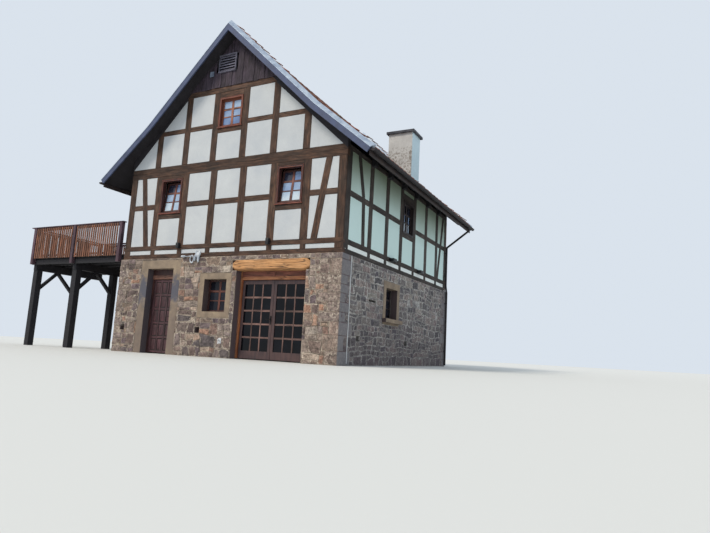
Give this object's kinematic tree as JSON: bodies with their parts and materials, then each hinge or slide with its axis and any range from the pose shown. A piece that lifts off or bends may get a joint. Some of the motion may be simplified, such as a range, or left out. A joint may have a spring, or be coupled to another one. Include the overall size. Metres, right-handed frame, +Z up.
{
  "type": "half-timbered house",
  "caption": "Two-storey half-timbered gabled house on a rubble-stone ground floor, with hinged doors, plastered panels, tiled roof, chimney and a raised timber deck.",
  "frame": {"origin": "On the ground, below the ridge and half way between the front and back gables, in the plane of the wall feet.", "axes": "+Z up; the front gable with the doors faces -Y; +X is to the right seen from the front, and the deck lies on -X."},
  "size_m": [13.329, 9.33, 9.8437],
  "materials": {
    "rubble_stone": "rough matt sandstone rubble with pale lime mortar",
    "sandstone": "dressed sandstone, matt and weathered",
    "plaster": "smooth matt lime plaster on clay panels",
    "dark_timber": "dark stained oak, open grain, matt",
    "lintel_timber": "oiled orange-brown timber, matt",
    "joinery": "red-brown glazed joinery, satin",
    "clear_glass": "clear window glass, gloss",
    "roof_tile": "fired clay tile, matt, with moss",
    "clad_board": "blue-grey sheet on boards, dull satin",
    "zinc": "weathered zinc sheet, dull",
    "deck_timber": "orange-brown larch, weathered",
    "deck_post_timber": "dark glazed softwood, matt",
    "render": "old lime render with stains, matt",
    "slab": "dark weathered slab, matt",
    "floor_deck": "plain boards on joists, matt",
    "black_metal": "black powder coat, satin",
    "handle_metal": "dark aged metal, satin"
  },
  "bodies": {
    "house": {"stone_front_left": "rubble_stone", "stone_front_middle": "rubble_stone", "stone_front_right": "rubble_stone", "stone_over_doors": "rubble_stone", "stone_right": "rubble_stone", "stone_left": "rubble_stone", "stone_back": "rubble_stone", "door_surround": "sandstone", "window_surrounds": "sandstone", "timber_lintel": "lintel_timber", "floors": "floor_deck", "frame_front": "dark_timber", "frame_back": "dark_timber", "frame_left": "dark_timber", "frame_right": "dark_timber", "infill_front": "plaster", "infill_back": "plaster", "infill_left": "plaster", "infill_right": "plaster", "gable_boards": "dark_timber", "gable_vents": "dark_timber", "roof_left": "roof_tile", "roof_right": "roof_tile", "rafters_left": "dark_timber", "rafters_right": "dark_timber", "barge_boards": "clad_board", "verge_caps": "zinc", "ridge_cap": "roof_tile", "fascias": "dark_timber", "gutters": "zinc", "downpipe": "zinc", "chimney": "render", "chimney_cap": "slab", "window_casings": "joinery", "window_sashes": "joinery", "window_panes": "clear_glass", "left_door_frame": "joinery", "double_door_frame": "joinery", "deck_boards": "deck_timber", "deck_joists": "deck_post_timber", "deck_supports": "deck_post_timber", "railing_front": "deck_timber", "railing_end": "deck_timber", "railing_back": "deck_timber", "deck_door": "joinery", "wall_lamps": "black_metal", "earth_rod": "zinc", "gable_rafters": "dark_timber", "beam_heads": "dark_timber", "wall_ornament": "zinc", "wall_tap": "handle_metal"},
    "left_door": {"left_door_leaf": "joinery", "left_door_handle": "handle_metal"},
    "double_door_left": {"double_leaf_left": "joinery", "double_glass_left": "clear_glass", "double_door_handle": "handle_metal"},
    "double_door_right": {"double_leaf_right": "joinery", "double_glass_right": "clear_glass"}
  },
  "joints": [
    {"name": "left_door_hinge", "type": "hinge", "parent": "house", "child": "left_door", "pos_m": [-2.506, -3.943, 1.1], "axis": [0, 0, 1], "range_deg": [0, 90]},
    {"name": "double_left_hinge", "type": "hinge", "parent": "house", "child": "double_door_left", "pos_m": [0.821, -3.943, 1.1], "axis": [0, 0, 1], "range_deg": [0, 90]},
    {"name": "double_right_hinge", "type": "hinge", "parent": "house", "child": "double_door_right", "pos_m": [2.912, -3.943, 1.1], "axis": [0, 0, -1], "range_deg": [0, 90]}
  ]
}
